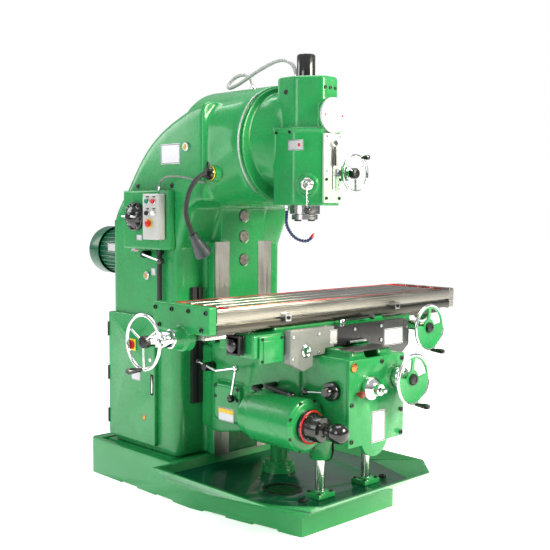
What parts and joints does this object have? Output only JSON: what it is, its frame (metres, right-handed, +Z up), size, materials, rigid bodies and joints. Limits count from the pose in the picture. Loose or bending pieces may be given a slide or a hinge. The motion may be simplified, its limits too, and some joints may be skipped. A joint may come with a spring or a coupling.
{
  "type": "vertical milling machine",
  "caption": "Knee-type vertical milling machine: green column with swivelling head, quill and spindle over a T-slotted table on saddle and knee, handwheels, coolant tray base.",
  "frame": {"origin": "on the floor under the column guideway plane, on the mid-plane, at the centre of the anchor bolt rectangle", "axes": "+X to the operator's right along the table, +Y from the operator to the back of the column, +Z up"},
  "size_m": [2.1384, 2.2146, 2.268],
  "materials": {
    "green_paint": "semi-gloss enamel",
    "dark_green_paint": "semi-gloss enamel",
    "grey_paint": "satin",
    "ground_iron": "ground",
    "black_plastic": "gloss",
    "sight_glass": "clear",
    "panel_grey": "satin",
    "button_green": "gloss",
    "button_red": "gloss",
    "button_black": "gloss",
    "button_white": "gloss",
    "chrome": "polished",
    "black_rubber": "matte",
    "lamp_grey": "satin",
    "grey_cable": "satin",
    "conduit_metal": "satin",
    "white_plate": "satin",
    "blue_hose": "satin",
    "brushed_steel": "ground"
  },
  "bodies": {
    "frame": {"base": "green_paint", "column": "green_paint", "column_ways": "ground_iron", "stop_rail": "black_plastic", "oil_plugs": "black_plastic", "oil_sights": "sight_glass", "main_motor": "dark_green_paint", "motor_fan_cover": "dark_green_paint", "speed_box": "green_paint", "control_panel": "panel_grey", "lamp_mount": "green_paint", "lamp_arm": "black_rubber", "lamp_shade": "lamp_grey", "lamp_cable": "grey_cable", "cabinet_conduit": "conduit_metal", "head_conduit": "conduit_metal", "lift_screw": "brushed_steel", "guide_posts": "brushed_steel", "post_feet": "green_paint"},
    "door": {"cabinet_door": "green_paint"},
    "isolator": {"isolator_knob": "button_red"},
    "start_press": {"start_button": "button_green"},
    "stop_press": {"stop_button": "button_red"},
    "jog_press": {"jog_button": "button_black"},
    "brake_press": {"brake_button": "button_white"},
    "emergency_press": {"emergency_button": "button_red"},
    "speed_selector": {"speed_dial": "black_plastic"},
    "range_lever": {"shift_lever": "chrome"},
    "milling_head": {"head": "green_paint", "head_plate": "white_plate", "head_badge": "white_plate", "drawbar_cap": "green_paint", "coolant_hose": "blue_hose"},
    "quill_slide_body": {"quill": "ground_iron"},
    "spindle_body": {"spindle": "brushed_steel", "drive_keys": "brushed_steel"},
    "quill_wheel": {"quill_handwheel": "chrome"},
    "quill_lock": {"quill_clamp": "chrome"},
    "depth_stop": {"depth_lever": "black_plastic"},
    "knee_body": {"knee": "green_paint", "apron": "green_paint", "feed_gearbox": "dark_green_paint"},
    "lift_socket": {"lift_dial": "brushed_steel"},
    "cross_wheel": {"cross_handwheel": "chrome"},
    "cross_wheel_grip": {"cross_grip": "black_plastic"},
    "feed_rate": {"feed_selector": "black_plastic"},
    "feed_engage": {"feed_lever": "black_plastic"},
    "knee_lock": {"knee_clamp": "chrome"},
    "saddle_body": {"saddle": "green_paint", "traverse_gearbox": "grey_paint"},
    "front_wheel": {"front_handwheel": "chrome"},
    "front_wheel_grip": {"front_grip": "black_plastic"},
    "table_clamp": {"table_lock": "chrome"},
    "table_body": {"table": "ground_iron", "left_bracket": "green_paint", "right_bracket": "green_paint", "trip_dogs": "brushed_steel"},
    "table_wheel": {"table_handwheel": "chrome", "table_screw": "brushed_steel"},
    "table_wheel_grip": {"table_grip": "black_plastic"}
  },
  "joints": [
    {"name": "door_hinge", "type": "hinge", "parent": "frame", "child": "door", "pos_m": [-0.3995, 0.69, 0.583], "axis": [0, 0, -1], "range_deg": [0, 110]},
    {"name": "isolator_turn", "type": "hinge", "parent": "door", "child": "isolator", "pos_m": [-0.408, 0.452, 0.766], "axis": [-1, 0, 0], "range_deg": [0, 90]},
    {"name": "start_press_slide", "type": "slide", "parent": "frame", "child": "start_press", "axis": [1, 0, 0], "range_m": [0, 0.004], "stiffness_N_per_m": 900},
    {"name": "stop_press_slide", "type": "slide", "parent": "frame", "child": "stop_press", "axis": [1, 0, 0], "range_m": [0, 0.004], "stiffness_N_per_m": 900},
    {"name": "jog_press_slide", "type": "slide", "parent": "frame", "child": "jog_press", "axis": [1, 0, 0], "range_m": [0, 0.004], "stiffness_N_per_m": 900},
    {"name": "brake_press_slide", "type": "slide", "parent": "frame", "child": "brake_press", "axis": [1, 0, 0], "range_m": [0, 0.004], "stiffness_N_per_m": 900},
    {"name": "emergency_press_slide", "type": "slide", "parent": "frame", "child": "emergency_press", "axis": [1, 0, 0], "range_m": [0, 0.006]},
    {"name": "speed_dial_turn", "type": "hinge", "parent": "frame", "child": "speed_selector", "pos_m": [-0.4465, 0.352, 1.462], "axis": [-1, 0, 0], "continuous": true},
    {"name": "range_lever_swing", "type": "hinge", "parent": "frame", "child": "range_lever", "pos_m": [-0.375, 0.335, 1.262], "axis": [-1, 0, 0], "range_deg": [-12, 10]},
    {"name": "head_swivel", "type": "hinge", "parent": "frame", "child": "milling_head", "pos_m": [0, -0.291, 1.83], "axis": [0, 1, 0], "range_deg": [-45, 45], "deforming": ["head_conduit"]},
    {"name": "quill_feed_turn", "type": "hinge", "parent": "milling_head", "child": "quill_wheel", "pos_m": [0.252, -0.56, 1.689], "axis": [0, -1, 0], "range_deg": [-2, 7652]},
    {"name": "quill_slide", "type": "slide", "parent": "milling_head", "child": "quill_slide_body", "axis": [0, 0, -1], "range_m": [0, 0.085]},
    {"name": "spindle_turn", "type": "hinge", "parent": "quill_slide_body", "child": "spindle_body", "pos_m": [0, -0.45, 1.6], "axis": [0, 0, 1], "continuous": true},
    {"name": "quill_lock_turn", "type": "hinge", "parent": "milling_head", "child": "quill_lock", "pos_m": [-0.1174, -0.5799, 1.625], "axis": [-0.7804, -0.6253, 0], "range_deg": [-20, 20]},
    {"name": "depth_stop_turn", "type": "hinge", "parent": "milling_head", "child": "depth_stop", "pos_m": [0, -0.636, 1.822], "axis": [0, -1, 0], "range_deg": [-60, 60]},
    {"name": "knee_slide", "type": "slide", "parent": "frame", "child": "knee_body", "axis": [0, 0, 1], "range_m": [-0.118, 0.267]},
    {"name": "lift_turn", "type": "hinge", "parent": "knee_body", "child": "lift_socket", "pos_m": [-0.062, -0.932, 0.686], "axis": [0, -1, 0], "range_deg": [-21242, 48062]},
    {"name": "cross_turn", "type": "hinge", "parent": "knee_body", "child": "cross_wheel", "pos_m": [0.147, -1.03, 0.711], "axis": [0, -1, 0], "range_deg": [-9452, 9452]},
    {"name": "cross_grip_spin", "type": "hinge", "parent": "cross_wheel", "child": "cross_wheel_grip", "pos_m": [0.15108, -1.04, 0.59407], "axis": [0, -1, 0], "continuous": true},
    {"name": "feed_rate_turn", "type": "hinge", "parent": "knee_body", "child": "feed_rate", "pos_m": [-0.296, -0.7724, 0.514], "axis": [0, -1, 0], "continuous": true},
    {"name": "feed_engage_swing", "type": "hinge", "parent": "knee_body", "child": "feed_engage", "pos_m": [-0.1964, -0.836, 0.674], "axis": [-1, 0, 0], "range_deg": [-25, 3]},
    {"name": "knee_lock_swing", "type": "hinge", "parent": "knee_body", "child": "knee_lock", "pos_m": [-0.2284, -0.02, 0.69], "axis": [-1, 0, 0], "range_deg": [-8, 8]},
    {"name": "saddle_slide", "type": "slide", "parent": "knee_body", "child": "saddle_body", "axis": [0, 1, 0], "range_m": [-0.1575, 0.1575]},
    {"name": "front_turn", "type": "hinge", "parent": "saddle_body", "child": "front_wheel", "pos_m": [0.608, -0.778, 0.893], "axis": [0, -1, 0], "range_deg": [-33542, 20462]},
    {"name": "front_grip_spin", "type": "hinge", "parent": "front_wheel", "child": "front_wheel_grip", "pos_m": [0.61208, -0.79, 0.77607], "axis": [0, -1, 0], "continuous": true},
    {"name": "table_clamp_swing", "type": "hinge", "parent": "saddle_body", "child": "table_clamp", "pos_m": [0.03, -0.68, 0.9484], "axis": [0, 0, 1], "range_deg": [-20, 6]},
    {"name": "table_slide", "type": "slide", "parent": "saddle_body", "child": "table_body", "axis": [1, 0, 0], "range_m": [-0.559, 0.341]},
    {"name": "table_turn", "type": "hinge", "parent": "table_body", "child": "table_wheel", "pos_m": [-0.985, -0.451, 0.935], "axis": [-1, 0, 0], "range_deg": [-33542, 20462]},
    {"name": "table_grip_spin", "type": "hinge", "parent": "table_wheel", "child": "table_wheel_grip", "pos_m": [-1, -0.45508, 0.81807], "axis": [-1, 0, 0], "continuous": true}
  ],
  "couplings": [
    {"joint": "quill_feed_turn", "follows": "quill_slide", "rad_per_m": 1570.8},
    {"joint": "lift_turn", "follows": "knee_slide", "rad_per_m": 3141.6},
    {"joint": "cross_turn", "follows": "saddle_slide", "rad_per_m": 1047.2},
    {"joint": "table_turn", "follows": "table_slide", "rad_per_m": 1047.2},
    {"joint": "front_turn", "follows": "table_slide", "rad_per_m": 1047.2}
  ]
}
